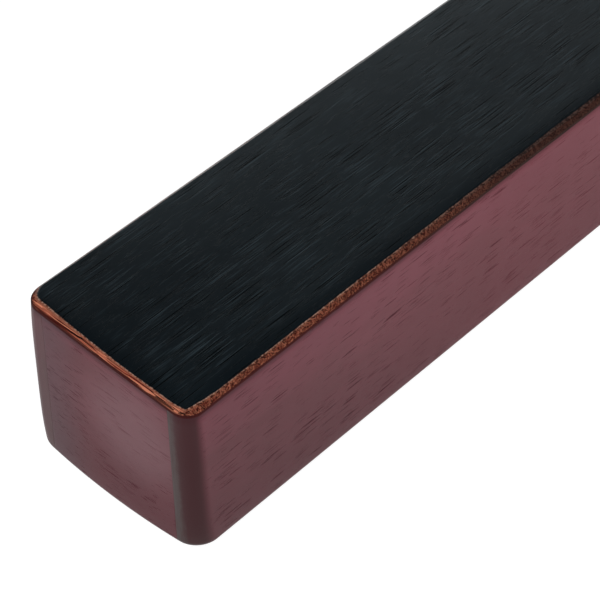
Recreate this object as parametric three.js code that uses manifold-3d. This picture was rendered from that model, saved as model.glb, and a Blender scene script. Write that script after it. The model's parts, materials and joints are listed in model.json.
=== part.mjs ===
// Cajon shaker: a slim closed wooden box, tapped on its stained plywood top and shaken by hand.
// Six thin panels and a three-ply playing plate are glued up and sanded to one rounded block,
// and loose steel balls are sealed in the chamber between them.
// Millimetres. X runs along the box, Z is up, and the origin is the centre of the underside.

import * as THREE from 'three';
import { mergeVertices } from 'three/addons/utils/BufferGeometryUtils.js';
import Module from 'manifold-3d';

const wasm = await Module();
wasm.setup();

// Outside of the glued and sanded block
const LENGTH = 200;
const WIDTH = 50;
const HEIGHT = 46;
const CORNER_RADIUS = 4.5;
const BASE_RADIUS = 2.5;
const CROWN_AT_TOP = 0.1;
const CROWN_AT_BASE = 1.6;
const BEVEL_INSET = 1.1;
const BEVEL_DROP = 1.2;
const FACE_CORNER_RADIUS = 2.8;

// Panels and plies
const SIDE_WALL = 6;
const END_WALL = 6;
const BOTTOM_PANEL = 5;
const FACE_VENEER = 0.4;
const CORE_PLY = 0.9;
const BACK_VENEER = 0.7;

// Loose balls, lying on the bottom panel in rows across the chamber
const BALL_DIAMETER = 5;
const BALL_GAP = 0.3;
const BALL_ROWS = 12;
const BALLS_IN_ROW = 4;

// Fineness of the curved stretches
const CORNER_STEPS = 5;
const BASE_STEPS = 4;
const CROWN_STEPS = 6;
const BALL_DETAIL = 1;
const SHARPEST_CORNER = 0.2;

// Heights of the layers, counted up from the underside
const wallTop = HEIGHT - FACE_VENEER - CORE_PLY - BACK_VENEER;
const coreBase = wallTop + BACK_VENEER;
const faceBase = coreBase + CORE_PLY;

// Inside faces of the walls
const innerX = LENGTH / 2 - END_WALL;
const innerY = WIDTH / 2 - SIDE_WALL;

const finishes = {
  blackStain: { color: 0x1c2527, roughness: 0.55 },
  coreEdge: { color: 0x86573f, roughness: 0.8 },
  backEdge: { color: 0x3c1714, roughness: 0.8 },
  burgundyStain: { color: 0x6f464c, roughness: 0.5 },
  steel: { color: 0xb9bcc0, roughness: 0.25, metalness: 1 },
};

const shaker = new THREE.Group();

function addPiece(name, geometry, finish) {
  const piece = new THREE.Mesh(geometry, new THREE.MeshStandardMaterial(finishes[finish]));
  piece.name = name;
  shaker.add(piece);
  return piece;
}

// One level outline of the block: round corners, straight sides and bowed ends
function outlineAt(z, inset, cornerRadius = CORNER_RADIUS - inset) {
  const crown = THREE.MathUtils.lerp(CROWN_AT_BASE, CROWN_AT_TOP, z / HEIGHT);
  const halfLength = LENGTH / 2 - crown - inset;
  const halfWidth = WIDTH / 2 - inset;
  const radius = Math.max(cornerRadius, SHARPEST_CORNER);
  const centreX = halfLength - radius;
  const centreY = halfWidth - radius;
  const points = [];
  const addPoint = (x, y) => {
    const bow = crown * (1 - (y / halfWidth) ** 2);
    points.push([x + Math.sign(x) * bow, y, z]);
  };
  const addCorner = (signX, signY, startAngle) => {
    for (let step = 0; step <= CORNER_STEPS; step += 1) {
      const angle = startAngle + (step / CORNER_STEPS) * (Math.PI / 2);
      addPoint(signX * centreX + radius * Math.cos(angle), signY * centreY + radius * Math.sin(angle));
    }
  };
  const addEnd = (sign) => {
    for (let step = 1; step < CROWN_STEPS; step += 1) {
      addPoint(sign * halfLength, sign * centreY * (2 * step / CROWN_STEPS - 1));
    }
  };
  addCorner(1, 1, 0);
  addCorner(-1, 1, Math.PI / 2);
  addEnd(-1);
  addCorner(-1, -1, Math.PI);
  addCorner(1, -1, 1.5 * Math.PI);
  addEnd(1);
  return points;
}

// The sanded block: its outlines from the rounded base up to the bevelled top, where the bevel
// leaves the playing face with tighter corners than the walls below it
function blockOutlines() {
  const outlines = [];
  for (let step = 0; step <= BASE_STEPS; step += 1) {
    const angle = (1 - step / BASE_STEPS) * (Math.PI / 2);
    outlines.push(outlineAt(BASE_RADIUS * (1 - Math.sin(angle)), BASE_RADIUS * (1 - Math.cos(angle))));
  }
  outlines.push(outlineAt(HEIGHT - BEVEL_DROP, 0));
  outlines.push(outlineAt(HEIGHT, BEVEL_INSET, FACE_CORNER_RADIUS));
  return outlines;
}

// A closed skin through a stack of outlines, which run anticlockwise seen from above
function loft(outlines) {
  const count = outlines[0].length;
  const top = (outlines.length - 1) * count;
  const faces = [];
  for (let level = 0; level < outlines.length - 1; level += 1) {
    for (let j = 0; j < count; j += 1) {
      const a = level * count + j;
      const b = level * count + (j + 1) % count;
      faces.push(a, b, b + count, a, b + count, a + count);
    }
  }
  for (let j = 1; j < count - 1; j += 1) {
    faces.push(0, j + 1, j, top, top + j, top + j + 1);
  }
  const geometry = new THREE.BufferGeometry();
  geometry.setAttribute('position', new THREE.Float32BufferAttribute(outlines.flat(2), 3));
  geometry.setIndex(faces);
  return geometry;
}

function toSolid(geometry) {
  geometry.deleteAttribute('normal');
  geometry.deleteAttribute('uv');
  const merged = mergeVertices(geometry);
  return new wasm.Manifold(new wasm.Mesh({
    numProp: 3,
    vertProperties: merged.attributes.position.array,
    triVerts: Uint32Array.from(merged.index.array),
  }));
}

function toGeometry(solid) {
  const mesh = solid.getMesh();
  const geometry = new THREE.BufferGeometry();
  geometry.setAttribute('position', new THREE.BufferAttribute(mesh.vertProperties, 3));
  geometry.setIndex(new THREE.BufferAttribute(mesh.triVerts, 1));
  geometry.computeVertexNormals();
  return geometry;
}

const block = toSolid(loft(blockOutlines()));

// The part of the block between two opposite corners of a box
function cutPanel([x0, y0, z0], [x1, y1, z1]) {
  const box = new THREE.BoxGeometry(x1 - x0, y1 - y0, z1 - z0);
  box.translate((x0 + x1) / 2, (y0 + y1) / 2, (z0 + z1) / 2);
  return toGeometry(block.intersect(toSolid(box)));
}

// Side walls run the whole length, so their end grain shows beside the end walls
function addSideWalls() {
  addPiece('side_wall_near', cutPanel([-LENGTH, -WIDTH, 0], [LENGTH, -innerY, wallTop]), 'burgundyStain');
  addPiece('side_wall_far', cutPanel([-LENGTH, innerY, 0], [LENGTH, WIDTH, wallTop]), 'burgundyStain');
}

// End walls fit between the side walls
function addEndWalls() {
  addPiece('end_wall_near', cutPanel([-LENGTH, -innerY, 0], [-innerX, innerY, wallTop]), 'burgundyStain');
  addPiece('end_wall_far', cutPanel([innerX, -innerY, 0], [LENGTH, innerY, wallTop]), 'burgundyStain');
}

// The bottom panel fits inside the four walls, flush with their lower edges
function addBottomPanel() {
  const panel = cutPanel([-innerX, -innerY, 0], [innerX, innerY, BOTTOM_PANEL]);
  addPiece('bottom_panel', panel, 'burgundyStain');
}

// Three plies glued over the whole top of the walls, with the bevel cut through them
function addPlayingPlate() {
  const addPly = (name, base, top, finish) => {
    addPiece(name, cutPanel([-LENGTH, -WIDTH, base], [LENGTH, WIDTH, top]), finish);
  };
  addPly('plate_back_veneer', wallTop, coreBase, 'backEdge');
  addPly('plate_core', coreBase, faceBase, 'coreEdge');
  addPly('plate_face_veneer', faceBase, HEIGHT, 'blackStain');
}

// Every third row belongs to the same set: balls that run, balls that drift and balls that hop
function addBalls() {
  const pitch = BALL_DIAMETER + BALL_GAP;
  const ballHeight = BOTTOM_PANEL + BALL_GAP + BALL_DIAMETER / 2;
  const sets = ['running', 'drifting', 'hopping'];
  const counts = sets.map(() => 0);
  for (let row = 0; row < BALL_ROWS; row += 1) {
    const set = row % sets.length;
    for (let place = 0; place < BALLS_IN_ROW; place += 1) {
      counts[set] += 1;
      const name = `ball_${sets[set]}_${String(counts[set]).padStart(2, '0')}`;
      const shape = mergeVertices(new THREE.IcosahedronGeometry(BALL_DIAMETER / 2, BALL_DETAIL)
        .deleteAttribute('normal').deleteAttribute('uv'));
      shape.computeVertexNormals();
      addPiece(name, shape, 'steel').position.set(
        (row - (BALL_ROWS - 1) / 2) * pitch,
        (place - (BALLS_IN_ROW - 1) / 2) * pitch,
        ballHeight,
      );
    }
  }
}

addSideWalls();
addEndWalls();
addBottomPanel();
addPlayingPlate();
addBalls();

export default shaker;
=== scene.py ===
# Cajon shaker: the looks of the glued and sanded box and of its loose steel balls.
# Lengths of the shaker are in millimetres and are turned into metres where a mesh is made.
# X runs along the box, Z is up, and the origin is the centre of the underside.

import json
import math
import random

import bmesh
import bpy
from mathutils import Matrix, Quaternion, Vector, noise


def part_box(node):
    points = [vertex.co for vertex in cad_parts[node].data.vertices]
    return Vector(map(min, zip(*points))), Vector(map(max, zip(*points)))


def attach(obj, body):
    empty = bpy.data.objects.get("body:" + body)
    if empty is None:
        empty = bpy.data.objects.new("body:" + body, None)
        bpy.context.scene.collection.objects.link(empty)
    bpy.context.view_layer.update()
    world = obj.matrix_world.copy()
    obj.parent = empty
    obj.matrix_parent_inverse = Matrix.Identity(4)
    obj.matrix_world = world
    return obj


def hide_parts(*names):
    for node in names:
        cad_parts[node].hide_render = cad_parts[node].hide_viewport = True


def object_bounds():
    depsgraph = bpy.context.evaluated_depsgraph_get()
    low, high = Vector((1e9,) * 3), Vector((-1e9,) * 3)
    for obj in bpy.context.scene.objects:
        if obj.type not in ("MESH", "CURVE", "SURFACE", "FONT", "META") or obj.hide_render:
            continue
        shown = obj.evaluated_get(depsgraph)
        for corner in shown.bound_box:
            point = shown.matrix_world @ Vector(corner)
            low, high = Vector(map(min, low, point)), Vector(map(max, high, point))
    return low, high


MM = 0.001

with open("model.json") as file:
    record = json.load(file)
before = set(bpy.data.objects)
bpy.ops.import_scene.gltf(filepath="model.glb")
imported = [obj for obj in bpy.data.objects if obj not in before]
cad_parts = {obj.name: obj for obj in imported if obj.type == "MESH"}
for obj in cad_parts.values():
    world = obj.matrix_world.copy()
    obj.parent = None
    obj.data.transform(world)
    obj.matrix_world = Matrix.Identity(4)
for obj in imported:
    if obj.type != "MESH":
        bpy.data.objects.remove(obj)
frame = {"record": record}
cad_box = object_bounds()


def node_box(name):
    """Lowest and highest corner of a CAD node, in millimetres."""
    low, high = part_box(name)
    return low / MM, high / MM


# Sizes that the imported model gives
HALF_LENGTH = cad_box[1].x / MM
HALF_WIDTH = cad_box[1].y / MM
HEIGHT = cad_box[1].z / MM
FACE_BASE = node_box("plate_core")[1].z
CORE_BASE = node_box("plate_core")[0].z
WALL_TOP = node_box("plate_back_veneer")[0].z
CHAMBER_X, CHAMBER_Y, PANEL_TOP = node_box("bottom_panel")[1]

# The sanded block, as in the part's source
CORNER_RADIUS = 4.5
BASE_RADIUS = 2.5
CROWN_AT_TOP = 0.1
CROWN_AT_BASE = 1.6
BEVEL_DROP = 1.2

# The near end is cut a little out of square, most at the top
END_SKEW = 0.8

# The bow and the skew of an end fade out between here and the middle of the box
END_REACH = 88

# Radii of the upright corners at the base, half way up and at the top, and how late they change
# towards either. The corners run anticlockwise from that of the far end and the far side
CORNERS = ((4.5, 4.5, 4.5), (5.2, 3.2, 4.5), (6.0, 4.6, 4.2), (4.5, 4.5, 4.5))
CORNER_FLARE = 4

# The bevel is sanded by hand: a little convex, lighter along the ends and heavier towards the
# middle of the sides
BEVEL_BULGE = 0.09
END_BEVEL_TRIM = 0.28
SIDE_BEVEL_GAIN = 0.3

# Its width wanders over a long distance and ripples over a short one, and its lower line
# follows both. The layer keeps the two from rising together
BEVEL_WANDER = 0.09
WANDER_REACH = 17.0
BEVEL_RIPPLE = 0.035
RIPPLE_REACH = 2.3
RIPPLE_LAYER = 9.0
LOWER_LINE_GAIN = 1.5

# How far the bevel sets the playing face in from the end and from the side at each corner, in
# the same order
FACE_INSETS = ((1.1, 1.1), (2.15, 1.1), (1.25, 1.25), (1.1, 1.75))

# Corners of the playing face inside those lines. Each gives how far back along the end and how
# far back along the side its rounding starts, and how far its tip stays from the line of the end
# and from the line of the side
FACE_CORNERS = (
    (3.0, 3.2, 1.0, 1.0),
    (2.4, 3.2, 0.8, 1.0),
    (6.0, 10.0, 0.4, 0.9),
    (3.6, 3.3, 1.1, 1.0),
)
CORNER_CURVE = 1.5

# Fineness of the meshes
CORNER_STEPS = 20
BASE_STEPS = 8
BEVEL_STEPS = 7
SIDE_STEP = 0.6
WALL_LEVELS = 12

# Cut edges get a fine rounded rim
CUT_TOLERANCE = 1e-4
SEAM_ANGLE = math.radians(38)
SEAM_BEVEL = 0.05
SEAM_SEGMENTS = 2
SEAM_ROUNDNESS = 0.6

# An edge is shaded sharp beyond this angle, and round any flat face larger than this area
SHADING_ANGLE = math.radians(25)
FLAT_AREA = 40


# The block

QUARTERS = ((1, 1), (-1, 1), (-1, -1), (1, -1))


def crown_at(z):
    """How far the middle of an end stands out at this height."""
    return CROWN_AT_BASE + (CROWN_AT_TOP - CROWN_AT_BASE) * z / HEIGHT


def bowed(x, y, z, half_width):
    """The point moved outwards by the bow of its end, and inwards by the skew of the near end."""
    bow = math.copysign(crown_at(z) * (1 - (y / half_width) ** 2), x)
    skew = END_SKEW * (1 + z / HEIGHT * y / half_width) if x < 0 else 0.0
    return Vector((x + (bow + skew) * min(1.0, abs(x) / END_REACH), y, z))


def side_fractions(length, stops=()):
    """Places along a straight side, from 0 to 1 without the ends, with the stops among them."""
    count = round(length / SIDE_STEP)
    places = [step / count for step in range(1, count)]
    for stop in stops:
        nearest = min(range(len(places)), key=lambda i: abs(places[i] - stop))
        places[nearest] = stop
    return places


def assemble(corners, half_width, z):
    """A level outline, anticlockwise, from the points of its four corners."""
    straight_y = HALF_WIDTH - CORNER_RADIUS
    seam = (straight_y - CHAMBER_Y) / (2 * straight_y)
    long_places = side_fractions(2 * (HALF_LENGTH - CORNER_RADIUS))
    end_places = side_fractions(2 * straight_y, (seam, 1 - seam))
    points = []
    for k, corner in enumerate(corners):
        points += corner
        (x0, y0), (x1, y1) = corner[-1], corners[(k + 1) % len(corners)][0]
        for place in end_places if k % 2 else long_places:
            points.append((x0 + (x1 - x0) * place, y0 + (y1 - y0) * place))
    return [bowed(x, y, z, half_width) for x, y in points]


def wall_outline(z, inset):
    """The outline of the walls: round corners between straight sides."""
    half_length = HALF_LENGTH - crown_at(z) - inset
    half_width = HALF_WIDTH - inset
    corners = []
    for k, (sx, sy) in enumerate(QUARTERS):
        at_base, midway, at_top = CORNERS[k]
        outermost = at_top if z > HEIGHT / 2 else at_base
        radius = midway + (outermost - midway) * abs(2 * z / HEIGHT - 1) ** CORNER_FLARE - inset
        arc = []
        for step in range(CORNER_STEPS + 1):
            angle = (k + step / CORNER_STEPS) * math.pi / 2
            arc.append((
                sx * (half_length - radius) + radius * math.cos(angle),
                sy * (half_width - radius) + radius * math.sin(angle),
            ))
        corners.append(arc)
    return assemble(corners, half_width, z)


def face_corner(end_reach, side_reach, from_end, from_side):
    """Points of one corner from the side to the end, as distances from the end and the side."""
    half = CORNER_STEPS // 2
    points = []
    for step in range(half + 1):
        t = step / half
        points.append((side_reach + (from_end - side_reach) * t, from_side * t ** CORNER_CURVE))
    for step in range(half - 1, -1, -1):
        t = step / half
        points.append((from_end * t ** CORNER_CURVE, end_reach + (from_side - end_reach) * t))
    return points


def face_outline(z):
    """The outline of the playing face inside the bevel, with corners that differ a little."""
    corners = []
    for k, (sx, sy) in enumerate(QUARTERS):
        end_inset, side_inset = FACE_INSETS[k]
        half_length = HALF_LENGTH - crown_at(z) - end_inset
        half_width = HALF_WIDTH - side_inset
        points = [
            (sx * (half_length - from_end), sy * (half_width - from_side))
            for from_end, from_side in face_corner(*FACE_CORNERS[k])
        ]
        corners.append(points if k % 2 else points[::-1])
    return assemble(corners, HALF_WIDTH, z)


def sanding(point):
    """How far the hand-sanded bevel departs from an even one at this place."""
    wander = noise.noise(Vector((point.x, point.y, 0)) / WANDER_REACH)
    ripple = noise.noise(Vector((point.x, point.y, RIPPLE_LAYER)) / RIPPLE_REACH)
    return BEVEL_WANDER * wander + BEVEL_RIPPLE * ripple


def bevel_share(point):
    """The width of the bevel at this place, as a share of an even one."""
    straight_x = HALF_LENGTH - CORNER_RADIUS
    if abs(point.x) > straight_x:
        share = 1 - END_BEVEL_TRIM * max(0.0, 1 - (point.y / CHAMBER_Y) ** 2)
    else:
        share = 1 + SIDE_BEVEL_GAIN * (1 - (point.x / straight_x) ** 2)
    return share + sanding(point)


def bevel_outlines():
    """Outlines from the lower edge of the bevel up to the playing face."""
    outer = wall_outline(HEIGHT - BEVEL_DROP, 0)
    inner = face_outline(HEIGHT)
    outlines = []
    for step in range(BEVEL_STEPS + 1):
        t = step / BEVEL_STEPS
        swell = 4 * t * (1 - t)
        outline = []
        for low, high in zip(outer, inner):
            inward = high - low
            inward.z = 0
            point = low + inward * bevel_share(low) * (t - BEVEL_BULGE * swell)
            point.z = HEIGHT - BEVEL_DROP * (1 - t) + BEVEL_BULGE * swell
            if step == 0:
                point.z += LOWER_LINE_GAIN * sanding(low)
            outline.append(point)
        outlines.append(outline)
    return outlines


def block_outlines():
    """The sanded block, from its rounded base up to the playing face."""
    outlines = []
    for step in range(BASE_STEPS + 1):
        angle = (1 - step / BASE_STEPS) * math.pi / 2
        rise = BASE_RADIUS * (1 - math.sin(angle))
        inset = BASE_RADIUS * (1 - math.cos(angle))
        outlines.append(wall_outline(rise, inset))
    low, high = BASE_RADIUS, HEIGHT - BEVEL_DROP
    for level in range(1, WALL_LEVELS):
        outlines.append(wall_outline(low + (high - low) * level / WALL_LEVELS, 0))
    return outlines + bevel_outlines()


def make_block():
    """A closed skin through the outlines of the block."""
    block = bmesh.new()
    rings = [[block.verts.new(point) for point in outline] for outline in block_outlines()]
    for lower, lit_top in zip(rings, rings[1:]):
        for j in range(len(lower)):
            k = (j + 1) % len(lower)
            block.faces.new((lower[j], lower[k], lit_top[k], lit_top[j]))
    block.faces.new(list(reversed(rings[0])))
    block.faces.new(rings[-1])
    return block


block = make_block()


# Pieces cut from the block

def cut_at(axis, place, facing):
    """A plane across the axis, whose outer side faces up the axis for 1 and down it for -1."""
    point, normal = Vector(), Vector()
    point["xyz".index(axis)] = place
    normal["xyz".index(axis)] = facing
    return point, normal


def cut_piece(planes):
    """The part of the block behind every plane, with fine rounded rims."""
    piece = block.copy()
    for point, normal in planes:
        bmesh.ops.bisect_plane(
            piece,
            geom=piece.verts[:] + piece.edges[:] + piece.faces[:],
            plane_co=point,
            plane_no=normal,
            dist=CUT_TOLERANCE,
            clear_outer=True,
        )
        rim = [edge for edge in piece.edges if edge.is_boundary]
        bmesh.ops.holes_fill(piece, edges=rim, sides=0)
    bmesh.ops.recalc_face_normals(piece, faces=piece.faces)
    bmesh.ops.bevel(
        piece,
        geom=[edge for edge in piece.edges if edge.calc_face_angle(0) > SEAM_ANGLE],
        offset=SEAM_BEVEL,
        segments=SEAM_SEGMENTS,
        profile=SEAM_ROUNDNESS,
        affect="EDGES",
        clamp_overlap=True,
    )
    return piece


def add_piece(name, shape, body, nodes, materials, choose=lambda face: 0):
    """Turns a bmesh in millimetres into a piece that stands for CAD nodes."""
    mesh = bpy.data.meshes.new(name)
    for material in materials:
        mesh.materials.append(material)
    flat = set()
    for face in shape.faces:
        face.smooth = True
        face.material_index = choose(face)
        if face.calc_area() > FLAT_AREA:
            flat.add(face)
    for edge in shape.edges:
        gentle = edge.calc_face_angle(0) < SHADING_ANGLE
        edge.smooth = gentle and flat.isdisjoint(edge.link_faces)
    bmesh.ops.scale(shape, vec=(MM, MM, MM), verts=shape.verts)
    shape.to_mesh(mesh)
    shape.free()
    piece = bpy.data.objects.new(name, mesh)
    bpy.context.scene.collection.objects.link(piece)
    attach(piece, body)
    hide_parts(*nodes)


# Node trees

def srgb(red, green, blue):
    """A linear colour with full alpha from the 0 to 255 values that a picture shows."""
    values = []
    for channel in (red, green, blue):
        c = channel / 255
        values.append(c / 12.92 if c <= 0.04045 else ((c + 0.055) / 1.055) ** 2.4)
    return (*values, 1.0)


def feed(tree, socket, value):
    """Links the input to another node's output, or sets its value."""
    if isinstance(value, bpy.types.NodeSocket):
        tree.links.new(value, socket)
    else:
        socket.default_value = value


def add_node(tree, kind, values=None, **settings):
    """A node with its settings, and with its inputs set or linked."""
    node = tree.nodes.new(kind)
    for key, value in settings.items():
        setattr(node, key, value)
    for key, value in (values or {}).items():
        feed(tree, node.inputs[key], value)
    return node


def smooth_step(tree, value, start, end, low, high):
    """Low before start, high past end, and smooth between them."""
    values = {"Value": value, "From Min": start, "From Max": end, "To Min": low, "To Max": high}
    node = add_node(tree, "ShaderNodeMapRange", values, interpolation_type="SMOOTHSTEP")
    return node.outputs["Result"]


# How gently the rim of a pore fades, as a share of the distance between pores, and the size of
# the smallest pore against the largest
PORE_SOFTNESS = 0.03
SMALLEST_PORE = 0.3


class Finish:
    """A procedural material, worked out from the piece's own coordinates in millimetres."""

    def __init__(self, name, colour):
        self.material = bpy.data.materials.new(name)
        self.material.use_nodes = True
        self.tree = self.material.node_tree
        self.tree.nodes.clear()
        self.shader = self.add("ShaderNodeBsdfPrincipled")
        self.add("ShaderNodeOutputMaterial", {"Surface": self.shader.outputs[0]})
        coordinates = self.add("ShaderNodeTexCoord").outputs
        self.place = self.stretched(coordinates["Object"], (1 / MM, 1 / MM, 1 / MM))
        self.x, self.y, self.z = self.parts(self.place)
        self.normal_x, self.normal_y, self.normal_z = self.parts(coordinates["Normal"])
        self.colour = colour

    def add(self, kind, values=None, **settings):
        return add_node(self.tree, kind, values, **settings)

    def set(self, socket, value):
        """Sets or links an input of the shader."""
        feed(self.tree, self.shader.inputs[socket], value)

    def parts(self, vector):
        return self.add("ShaderNodeSeparateXYZ", {0: vector}).outputs

    def stretched(self, vector, factors):
        node = self.add("ShaderNodeVectorMath", {0: vector, 1: factors}, operation="MULTIPLY")
        return node.outputs[0]

    def shifted(self, vector, offset):
        node = self.add("ShaderNodeVectorMath", {0: vector, 1: offset}, operation="ADD")
        return node.outputs[0]

    def math(self, operation, *values):
        return self.add("ShaderNodeMath", dict(enumerate(values)), operation=operation).outputs[0]

    def times(self, *values):
        """The product of two or more values."""
        product = values[0]
        for value in values[1:]:
            product = self.math("MULTIPLY", product, value)
        return product

    def rest_of(self, share):
        """What a share leaves of 1."""
        return self.math("SUBTRACT", 1.0, share)

    def step(self, value, start, end, low=0.0, high=1.0):
        return smooth_step(self.tree, value, start, end, low, high)

    def noise(self, vector, scale, detail, roughness=0.5):
        values = {"Vector": vector, "Scale": scale, "Detail": detail, "Roughness": roughness}
        return self.add("ShaderNodeTexNoise", values).outputs["Fac"]

    def patches(self, size, detail=2.0, roughness=0.5):
        """Cloudy noise of about this size."""
        return self.noise(self.place, 1 / size, detail, roughness)

    def mix(self, share, first, second):
        """The first colour, turned into the second as far as the share says."""
        sockets = {0: share, 6: first, 7: second}
        return self.add("ShaderNodeMix", sockets, data_type="RGBA").outputs[2]

    def coat(self, share, colour):
        """Lays a colour over the material's own, as far as the share says."""
        self.colour = self.mix(share, self.colour, colour)

    def done(self):
        """The material, painted with its coats."""
        self.set("Base Color", self.colour)
        return self.material

    def bump(self, height, distance, normal=None):
        """Relief, added to a normal that has some. A height of 1 stands this many millimetres high."""
        values = {"Height": height, "Distance": distance * MM, "Strength": 1.0}
        if normal is not None:
            values["Normal"] = normal
        return self.add("ShaderNodeBump", values).outputs[0]

    def wave_grain(self, grain, amount, reach):
        """Lets the grain, along 'x' or 'y', drift a little across its own direction."""
        drift = self.math("MULTIPLY_ADD", self.patches(reach, 1.0), 2 * amount, -amount)
        across = {k: drift for k in range(3) if k != "xyz".index(grain)}
        offset = self.add("ShaderNodeCombineXYZ", across).outputs[0]
        self.wavy = self.shifted(self.place, offset)

    def along_grain(self, grain, length, width, aside=0.0):
        """Coordinates that stretch a texture along the grain and move it aside."""
        along = "xyz".index(grain)
        factors = [1 / width] * 3
        factors[along] = 1 / length
        offset = [aside] * 3
        offset[along] = 0.0
        return self.stretched(self.shifted(self.wavy, offset), factors)

    def grain_noise(self, grain, length, width, detail, roughness):
        """Noise in streaks of about this length and width along the grain."""
        return self.noise(self.along_grain(grain, length, width), 1.0, detail, roughness)

    def cells(self, grain, length, spacing, aside=0.0):
        """Cells along the grain: a chance value for each, and the distance from its middle."""
        values = {
            "Vector": self.along_grain(grain, length, spacing, aside),
            "Scale": 1.0,
            "Randomness": 1.0,
        }
        cells = self.add("ShaderNodeTexVoronoi", values).outputs
        return self.parts(cells["Color"])[0], cells["Distance"]

    def dashes(self, grain, length, spacing, size, crowd, aside):
        """Dashes along the grain: 1 in a dash and 0 outside. Where crowd is low there are fewer."""
        luck, distance = self.cells(grain, length, spacing, aside)
        reach = self.times(self.step(luck, 0.0, 1.0, SMALLEST_PORE * size, size), crowd)
        inside = self.math("SUBTRACT", reach, distance)
        return self.step(inside, -PORE_SOFTNESS, PORE_SOFTNESS)

    def pores(self, grain, wide, fine, fine_share, crowd, aside=0.0):
        """Wide pores and fainter fine ones, each given as length, spacing and size in a cell."""
        wide_dashes = self.dashes(grain, *wide, crowd, aside)
        fine_dashes = self.dashes(grain, *fine, crowd, aside)
        return self.math("MAXIMUM", wide_dashes, self.times(fine_dashes, fine_share))

    def end_grain(self, grain):
        """1 where the surface cuts across the grain."""
        facing = self.normal_x if grain == "x" else self.normal_y
        return self.step(self.math("ABSOLUTE", facing), 0.0, 0.5)


# Burgundy stain

# Pores of the stained walls: their length, their spacing and their size in a cell
BURGUNDY_PORES = (12, 0.38, 0.27)
BURGUNDY_FINE_PORES = (8, 0.24, 0.37)
BURGUNDY_FINE_SHARE = 0.62

# Heights between which a painted shade darkens the stain downwards, a painted light brightens it
# upwards, and the foot is worn and carries a painted highlight
SHADED_BELOW = (34, 4)
LIT_ABOVE = (26, 40)
WORN_AND_LIT_BELOW = (2.4, 0.6)

# A painted shade darkens the stain in a band of this height under the plate
PLATE_SHADE = 1.8

# The painted highlight on the end walls: its middle in Y and Z, and its distances from there, first
# where it starts and then where it is palest
HIGHLIGHT_MIDDLE = (-8.0, 29.0)
HIGHLIGHT_REACH = (20.0, 5.0)

# Places across an end wall between which a painted shade darkens and greys the stain towards the far
# side
SHADED_ACROSS = (4.0, 18.0)

# Places along a side wall between which a painted shade darkens the stain to the near end, and the
# stain reddens away from it
SHADED_NEAR = (-40, -94)
REDDER_FAR = (-60, 20)


def burgundy_stain(name, grain, soaked=0.92, pore_depth=0.95, shine=0.1, lit_top=0.0):
    """Satin burgundy stain on open-pored wood, darker where it soaks into end grain, with painted
    shade low down and under the plate, painted light higher up and a painted highlight at the foot.

    Soaked and pore_depth say how strongly end grain and pores darken, and lit_top how strongly a
    painted light brightens the top of a wall. Shine is the specular level between the pores.
    """
    finish = Finish(name, srgb(102, 54, 61))
    finish.wave_grain(grain, 0.3, 45)
    patches = finish.patches(22, 3.0, 0.55)
    bands = finish.grain_noise(grain, 40, 5.0, 2.0, 0.6)
    fibres = finish.grain_noise(grain, 2.4, 0.2, 4.0, 0.7)
    across = finish.end_grain(grain)
    crowd = finish.step(bands, 0.38, 0.6, 0.55, 1.0)
    pores = finish.pores(grain, BURGUNDY_PORES, BURGUNDY_FINE_PORES, BURGUNDY_FINE_SHARE, crowd)
    pores = finish.times(pores, finish.rest_of(across))

    finish.coat(finish.step(bands, 0.35, 0.68), srgb(109, 59, 67))
    finish.coat(finish.step(patches, 0.4, 0.66, 0.0, 0.35), srgb(122, 64, 74))
    finish.coat(finish.step(fibres, 0.3, 0.7, 0.22, 0.0), srgb(84, 46, 51))
    # Painted shade: the stain darkens towards the foot of the walls, as if less light reached it there
    finish.coat(finish.step(finish.z, *SHADED_BELOW, 0.0, 0.65), srgb(78, 34, 41))
    # Painted light: the top of the wall is brightened, as if lit more from above
    finish.coat(finish.step(finish.z, *LIT_ABOVE, 0.0, lit_top), srgb(134, 70, 84))
    finish.coat(finish.times(across, soaked), srgb(48, 18, 20))
    finish.coat(finish.times(pores, pore_depth), srgb(50, 11, 21))
    # Painted shade under the plate that sits on the walls
    painted_plate_shadow = finish.step(finish.z, WALL_TOP - PLATE_SHADE, WALL_TOP, 0.0, 0.7)
    finish.coat(painted_plate_shadow, srgb(54, 24, 28))
    # Partly wear and partly a painted highlight: the rounded foot is paled, as if it caught a
    # reflection of the floor
    worn_and_lit_foot = finish.times(finish.step(finish.z, *WORN_AND_LIT_BELOW), 0.35)
    finish.coat(worn_and_lit_foot, srgb(120, 84, 90))

    finish.set("Roughness", finish.step(fibres, 0.2, 0.8, 0.36, 0.46))
    relief = finish.bump(finish.patches(14, 1.0), 0.08)
    relief = finish.bump(fibres, 0.012, relief)
    relief = finish.bump(finish.rest_of(pores), 0.03, relief)
    finish.set("Normal", relief)
    finish.set("Specular IOR Level", finish.step(pores, 0.0, 1.0, shine, 0.0))
    return finish


def end_board_stain():
    """The stain on the end walls, with a painted highlight in the middle of each."""
    finish = burgundy_stain("burgundy_end", "y", pore_depth=0.5)
    # Painted highlight: a pale patch on the end, as if the light caught it there
    across = finish.math("SUBTRACT", finish.y, HIGHLIGHT_MIDDLE[0])
    up = finish.math("SUBTRACT", finish.z, HIGHLIGHT_MIDDLE[1])
    square = finish.math("ADD", finish.times(across, across), finish.times(up, up))
    painted_highlight = finish.step(finish.math("SQRT", square), *HIGHLIGHT_REACH, 0.0, 0.42)
    finish.coat(painted_highlight, srgb(136, 104, 110))
    # Painted shade: the end darkens towards the far side, away from the light
    finish.coat(finish.step(finish.y, *SHADED_ACROSS, 0.0, 0.5), srgb(82, 64, 71))
    return finish.done()


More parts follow.
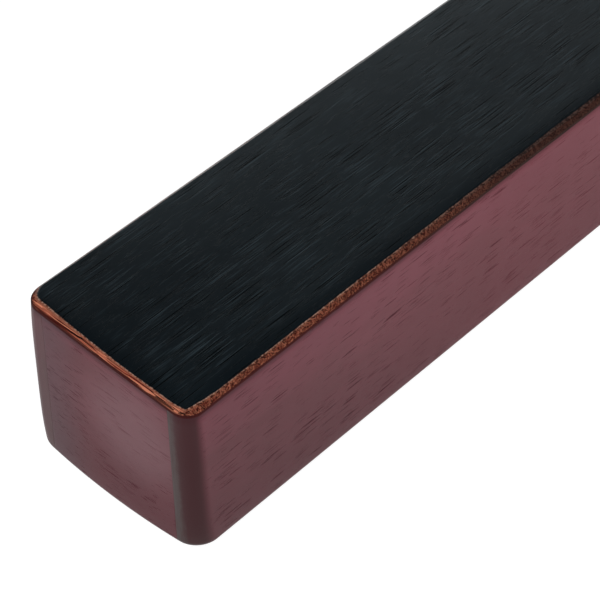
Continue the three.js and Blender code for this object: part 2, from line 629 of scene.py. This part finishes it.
def side_board_stain(name, filler, soaked, shine):
    """The stain on a side wall, whose end grain takes up grey filler beside the seam, with painted
    shade towards the near end.
    """
    finish = burgundy_stain(name, "x", soaked, shine=shine, lit_top=0.36)
    # Painted shade: the side darkens towards the near end
    finish.coat(finish.step(finish.x, *SHADED_NEAR, 0.0, 0.25), srgb(70, 38, 43))
    finish.coat(finish.step(finish.x, *REDDER_FAR, 0.0, 0.4), srgb(108, 42, 52))
    end_face = finish.step(finish.math("ABSOLUTE", finish.normal_x), 0.7, 0.97)
    from_seam = finish.math("SUBTRACT", finish.math("ABSOLUTE", finish.y), CHAMBER_Y)
    wander = finish.times(finish.noise(finish.place, 0.35, 3.0, 0.6), 1.6)
    breadth = finish.math("ADD", finish.step(finish.z, WALL_TOP, 8.0, 0.4, 1.3), wander)
    left_over = finish.math("SUBTRACT", breadth, from_seam)
    filled = finish.times(finish.step(left_over, -0.9, 0.8), filler, end_face)
    finish.coat(filled, srgb(84, 80, 78))
    streaks = finish.noise(finish.stretched(finish.place, (1.8, 1.8, 0.06)), 1.0, 2.0, 0.6)
    streaked = finish.times(finish.step(streaks, 0.48, 0.62, 0.0, 0.35), end_face, soaked)
    finish.coat(streaked, srgb(60, 20, 24))
    return finish.done()


# Black stain and bare plies

# Pores of the playing face: their length, their spacing and their size in a cell
BLACK_PORES = (16, 0.32, 0.42)
BLACK_FINE_PORES = (9, 0.24, 0.42)
BLACK_FINE_SHARE = 0.7

# Painted highlights along the lit side of the pores, and how far beside them they run
BLACK_GLINTS = (16, 0.32, 0.37)
BLACK_FINE_GLINTS = (9, 0.24, 0.37)
GLINT_SHIFT = 0.15

# How far below the playing face its pale veneer ends and the brown under it starts
PALE_VENEER = (0.16, 0.26)

# The dark line along the foot of the core ply: its height, and its rise for each millimetre
# towards the far side
FOOT_LINE = 0.3
FOOT_LINE_TILT = 0.006

# Distances over which the painted pore highlights and the sheen grow in from the edges and from the
# near end
CLEAR_OF_EDGE = (2.0, 7.0)
CLEAR_OF_END = (3.0, 60.0)

# Places along and across the box between which the sheen grows stronger
SHEEN_ALONG = (-60.0, 40.0)
SHEEN_ACROSS = (0.0, 24.0)

# Towards the far end the stain has crept over the bare edge, from here to here along the box
STAINED_EDGE = (-60, 12)


def crept_stain(finish):
    """How much of the bare edge the black stain hides at this place along the box."""
    return finish.step(finish.x, *STAINED_EDGE, 0.0, 0.92)


def sanded_edge(finish):
    """The colour of the sanded rim of the black face, where its pale veneer shows through."""
    mottled = finish.step(finish.noise(finish.place, 2.0, 2.0, 0.6), 0.46, 0.54)
    pale = finish.mix(mottled, srgb(88, 54, 42), srgb(146, 116, 102))
    brown = finish.mix(mottled, srgb(46, 20, 14), srgb(118, 70, 52))
    on_the_end = finish.times(finish.end_grain("x"), 0.65)
    brown = finish.mix(on_the_end, brown, srgb(150, 90, 70))
    below_pale = finish.step(finish.z, HEIGHT - PALE_VENEER[0], HEIGHT - PALE_VENEER[1])
    bare = finish.mix(below_pale, pale, brown)
    stained = finish.mix(mottled, srgb(22, 14, 12), srgb(56, 42, 38))
    return finish.mix(crept_stain(finish), bare, stained)


def black_stain():
    """Near black satin stain over open pores, with painted highlights along their lit side."""
    finish = Finish("black_stain", srgb(8, 14, 18))
    finish.wave_grain("x", 0.25, 60)
    patches = finish.patches(30)
    bands = finish.grain_noise("x", 60, 6.0, 2.0, 0.6)
    crowd = finish.step(bands, 0.36, 0.6, 0.65, 1.0)
    pores = finish.pores("x", BLACK_PORES, BLACK_FINE_PORES, BLACK_FINE_SHARE, crowd)
    painted_glints = finish.pores("x", BLACK_GLINTS, BLACK_FINE_GLINTS, BLACK_FINE_SHARE, crowd, GLINT_SHIFT)
    from_side = finish.math("ADD", finish.y, HALF_WIDTH)
    from_end = finish.math("ADD", finish.x, HALF_LENGTH)
    from_edge = finish.step(finish.math("MINIMUM", from_side, from_end), *CLEAR_OF_EDGE)

    finish.coat(finish.step(patches, 0.35, 0.65), srgb(11, 18, 22))
    # Painted highlights: pale lines beside the pores, where a groove wall would catch the light
    finish.coat(finish.times(painted_glints, from_edge), srgb(34, 43, 48))
    finish.coat(finish.times(pores, 0.9), srgb(1, 3, 4))
    ragged = finish.times(finish.noise(finish.place, 1.6, 3.0, 0.7), 0.2)
    height = finish.math("ADD", finish.z, ragged)
    below_face = finish.step(height, HEIGHT + 0.02, HEIGHT - 0.06)
    sanded = finish.times(below_face, finish.step(finish.normal_z, 0.98, 0.93))
    finish.coat(sanded, sanded_edge(finish))

    finish.set("Roughness", finish.step(bands, 0.3, 0.7, 0.32, 0.38))
    relief = finish.bump(finish.patches(18, 1.0), 0.08)
    relief = finish.bump(finish.rest_of(pores), 0.04, relief)
    finish.set("Normal", relief)
    shine = finish.times(
        finish.math("MULTIPLY_ADD", from_edge, 0.6, 0.4),
        finish.step(from_end, *CLEAR_OF_END, 0.5, 1.0),
        finish.step(finish.x, *SHEEN_ALONG, 1.0, 1.16),
        finish.step(finish.y, *SHEEN_ACROSS, 1.0, 1.58),
        finish.rest_of(finish.times(pores, 0.8)),
        0.4,
    )
    finish.set("Specular IOR Level", shine)
    finish.set("Specular Tint", (0.75, 0.92, 1.0, 1.0))
    return finish.done()


def bare_ply(name, grain, dark, red, light, line):
    """A bare sanded ply edge: dots where it cuts the fibres, streaks where it follows them."""
    finish = Finish(name, dark)
    finish.wave_grain(grain, 0.1, 9)
    fine_luck = finish.cells(grain, 7.0, 0.2)[0]
    coarse_luck = finish.cells(grain, 12.0, 0.3)[0]
    finish.coat(finish.step(fine_luck, 0.1, 0.9), light)
    finish.coat(finish.step(coarse_luck, 0.4, 0.7, 0.0, 0.6), red)
    finish.coat(finish.step(finish.patches(9), 0.5, 0.75, 0.0, 0.35), dark)
    finish.coat(finish.times(finish.end_grain(grain), 0.58), dark)
    line_top = finish.math("MULTIPLY_ADD", finish.y, FOOT_LINE_TILT, CORE_BASE + FOOT_LINE)
    above_line = finish.math("SUBTRACT", finish.z, line_top)
    finish.coat(finish.step(above_line, 0.08, -0.08, 0.0, 0.85), line)
    finish.coat(crept_stain(finish), finish.mix(fine_luck, srgb(20, 9, 7), srgb(57, 37, 32)))
    finish.set("Roughness", 0.75)
    finish.set("Specular IOR Level", 0.1)
    finish.set("Normal", finish.bump(fine_luck, 0.05))
    return finish.done()


# Inside the box

def chamber_wood():
    """Bare pale wood, banded and with darker fibres."""
    finish = Finish("chamber_wood", srgb(170, 128, 96))
    finish.wave_grain("x", 0.8, 25)
    bands = finish.grain_noise("x", 50, 2.6, 3.0, 0.6)
    fibres = finish.grain_noise("x", 4, 0.25, 3.0, 0.6)
    finish.coat(finish.step(bands, 0.35, 0.65), srgb(196, 156, 122))
    finish.coat(finish.step(fibres, 0.35, 0.7, 0.4, 0.0), srgb(132, 90, 66))
    finish.set("Roughness", 0.8)
    finish.set("Normal", finish.bump(fibres, 0.04))
    return finish.done()


def ball_steel():
    """Polished steel with fine scuffs from rattling in the box."""
    finish = Finish("ball_steel", srgb(198, 200, 204))
    scuffs = finish.noise(finish.stretched(finish.place, (1.0, 4.0, 1.6)), 2.0, 4.0, 0.7)
    smudges = finish.noise(finish.place, 0.8, 2.0)
    finish.coat(finish.step(smudges, 0.3, 0.7), srgb(222, 223, 225))
    finish.set("Metallic", 1.0)
    finish.set("Roughness", finish.step(scuffs, 0.4, 0.75, 0.16, 0.38))
    finish.set("Normal", finish.bump(scuffs, 0.01))
    return finish.done()


# The box

near_side_stain = side_board_stain("burgundy_near_side", filler=0.45, soaked=0.92, shine=0.1)
far_side_stain = side_board_stain("burgundy_far_side", filler=0.04, soaked=0.5, shine=0.18)
end_stain = end_board_stain()
base_stain = burgundy_stain("burgundy_base", "x").done()
inside_wood = chamber_wood()
core_wood = bare_ply(
    "core_ply",
    "y",
    dark=srgb(30, 7, 5),
    red=srgb(108, 34, 23),
    light=srgb(202, 124, 96),
    line=srgb(48, 9, 9),
)
back_wood = bare_ply(
    "back_ply",
    "x",
    dark=srgb(32, 9, 9),
    red=srgb(62, 16, 16),
    light=srgb(82, 30, 28),
    line=srgb(60, 17, 16),
)
black_wood = black_stain()

# How far outside the chamber the middle of one of its faces may seem to lie
CHAMBER_SLACK = 0.02


def faces_chamber(face):
    """1 for a face of the chamber, which is bare, and 0 for a stained one."""
    centre = face.calc_center_median()
    inside_x = abs(centre.x) < CHAMBER_X + CHAMBER_SLACK
    inside_y = abs(centre.y) < CHAMBER_Y + CHAMBER_SLACK
    return int(inside_x and inside_y and centre.z > PANEL_TOP - CHAMBER_SLACK)


def add_board(name, node, planes, stain):
    """A stained board, bare on the side that faces the chamber."""
    materials = [stain, inside_wood]
    add_piece(name, cut_piece(planes), "box", [node], materials, faces_chamber)


top_of_walls = cut_at("z", WALL_TOP, 1)
between_sides = [cut_at("y", CHAMBER_Y, 1), cut_at("y", -CHAMBER_Y, -1)]
between_ends = [cut_at("x", CHAMBER_X, 1), cut_at("x", -CHAMBER_X, -1)]

for name, node, side, stain in (
    ("near_side_board", "side_wall_near", -1, near_side_stain),
    ("far_side_board", "side_wall_far", 1, far_side_stain),
):
    add_board(name, node, [top_of_walls, cut_at("y", side * CHAMBER_Y, -side)], stain)

for name, node, side in (
    ("near_end_board", "end_wall_near", -1),
    ("far_end_board", "end_wall_far", 1),
):
    inner_face = cut_at("x", side * CHAMBER_X, -side)
    add_board(name, node, [top_of_walls, inner_face] + between_sides, end_stain)

panel_planes = [cut_at("z", PANEL_TOP, 1)] + between_ends + between_sides
add_board("bottom_board", "bottom_panel", panel_planes, base_stain)

for name, node, base, top, slot, material in (
    ("back_ply", "plate_back_veneer", WALL_TOP, CORE_BASE, "back_veneer", back_wood),
    ("core_ply", "plate_core", CORE_BASE, FACE_BASE, "core_ply", core_wood),
    ("face_ply", "plate_face_veneer", FACE_BASE, None, "black_stain", black_wood),
):
    planes = [cut_at("z", base, -1)]
    if top is not None:
        planes.append(cut_at("z", top, 1))
    add_piece(name, cut_piece(planes), "box", [node], [material])

block.free()


# The loose balls

# The dents are a share of the radius deep, and each ball takes them from its own part of the noise
BALL_FINENESS = 4
BALL_DENT = 0.012
DENT_SCALE = 2.6
NOISE_SPREAD = 99
BALL_SEED = 11

steel = ball_steel()
chance = random.Random(BALL_SEED)


def add_ball(node, body):
    """A steel ball with light dents, turned at random."""
    low, high = node_box(node)
    centre, radius = (low + high) / 2, (high.z - low.z) / 2
    turn = Quaternion([chance.gauss(0, 1) for _ in range(4)])
    turn.normalize()
    offset = Vector([chance.uniform(0, NOISE_SPREAD) for _ in range(3)])
    ball = bmesh.new()
    bmesh.ops.create_icosphere(ball, subdivisions=BALL_FINENESS, radius=1.0)
    for vert in ball.verts:
        dent = BALL_DENT * max(0.0, noise.noise(vert.co * DENT_SCALE + offset))
        vert.co = centre + (turn @ vert.co) * (radius - dent * radius)
    add_piece(node.replace("ball_", "steel_ball_"), ball, body, [node], [steel])


for body, members in frame["record"]["behaviour"]["bodies"].items():
    for node in members:
        if node.startswith("ball_"):
            add_ball(node, body)


# Floor, light and camera. The floor and the lamps are in metres

FLOOR_SIZE = 12.0
FLOOR_GREY = 0.35
FLOOR_LIFT = 0.82

# Light from all round: brighter low down than overhead, and changing between these heights
SKY_LOW = 0.68
SKY_HIGH = 0.0
SKY_BREAK = (0.45, 0.74)

# The photograph's view, off the near end and the near side and from above, in millimetres
CAMERA_PLACE = Vector((-326.61, -260.18, 404.95))
CAMERA_TARGET = Vector((-59.744, -18.771, 46.0))
CAMERA_ROLL = math.radians(0.606)
SENSOR_WIDTH = 36
FOCAL_LENGTH = 145.526
CLIPPING = (0.01, 50)


def add_floor():
    """A grey floor that takes the shadow and looks white to the camera and in reflections."""
    bpy.ops.mesh.primitive_plane_add(size=FLOOR_SIZE)
    floor = bpy.context.object
    floor.name = "floor"
    material = bpy.data.materials.new("floor")
    material.use_nodes = True
    tree = material.node_tree
    tree.nodes.clear()
    rays = add_node(tree, "ShaderNodeLightPath").outputs
    either = {0: rays["Is Camera Ray"], 1: rays["Is Glossy Ray"]}
    seen = add_node(tree, "ShaderNodeMath", either, operation="MAXIMUM").outputs[0]
    lift = add_node(tree, "ShaderNodeMath", {0: seen, 1: FLOOR_LIFT}, operation="MULTIPLY").outputs[0]
    glow = add_node(tree, "ShaderNodeEmission", {"Strength": lift}).outputs[0]
    grey = (FLOOR_GREY, FLOOR_GREY, FLOOR_GREY, 1)
    paper = add_node(tree, "ShaderNodeBsdfDiffuse", {"Color": grey}).outputs[0]
    both = add_node(tree, "ShaderNodeAddShader", {0: paper, 1: glow}).outputs[0]
    add_node(tree, "ShaderNodeOutputMaterial", {"Surface": both})
    floor.data.materials.append(material)


def add_world():
    """White to the camera. To all other rays it is grey, and brighter low down than overhead."""
    world = bpy.data.worlds.new("studio")
    bpy.context.scene.world = world
    world.use_nodes = True
    tree = world.node_tree
    tree.nodes.clear()
    direction = add_node(tree, "ShaderNodeTexCoord").outputs["Generated"]
    height = add_node(tree, "ShaderNodeSeparateXYZ", {0: direction}).outputs["Z"]
    shade = smooth_step(tree, height, *SKY_BREAK, SKY_LOW, SKY_HIGH)
    to_camera = add_node(tree, "ShaderNodeLightPath").outputs["Is Camera Ray"]
    strength = add_node(tree, "ShaderNodeMix", {0: to_camera, 2: shade, 3: 1.0}).outputs[0]
    white = {"Color": (1, 1, 1, 1), "Strength": strength}
    background = add_node(tree, "ShaderNodeBackground", white).outputs[0]
    add_node(tree, "ShaderNodeOutputWorld", {"Surface": background})


def add_lamp(name, place, target, size, power):
    """A soft square lamp that lights the wood without a hot spot in its satin finish."""
    lamp = bpy.data.lights.new(name, "AREA")
    lamp.size = size
    lamp.energy = power
    holder = bpy.data.objects.new(name, lamp)
    bpy.context.scene.collection.objects.link(holder)
    holder.location = place
    holder.rotation_euler = (Vector(target) - Vector(place)).to_track_quat("-Z", "Y").to_euler()
    holder.visible_glossy = False


def add_camera():
    """The photograph's camera."""
    camera = bpy.data.cameras.new("camera")
    camera.sensor_width = SENSOR_WIDTH
    camera.lens = FOCAL_LENGTH
    camera.clip_start, camera.clip_end = CLIPPING
    holder = bpy.data.objects.new("camera", camera)
    bpy.context.scene.collection.objects.link(holder)
    place, target = CAMERA_PLACE * MM, CAMERA_TARGET * MM
    roll = Quaternion((0, 0, 1), CAMERA_ROLL)
    holder.location = place
    holder.rotation_mode = "QUATERNION"
    holder.rotation_quaternion = (target - place).to_track_quat("-Z", "Y") @ roll
    bpy.context.scene.camera = holder


add_floor()
add_world()
add_lamp("key_light", place=(-0.5, -0.15, 0.7), target=(0, 0, 0), size=0.5, power=4.4)
add_lamp("right_light", place=(0.3, -0.3, 0.25), target=(0.05, 0, 0.02), size=0.2, power=0.9)
add_lamp("left_light", place=(-0.4, -0.4, 0.5), target=(-0.1, 0, 0.02), size=0.3, power=0.8)
add_camera()
bpy.context.scene.view_settings.view_transform = "Standard"
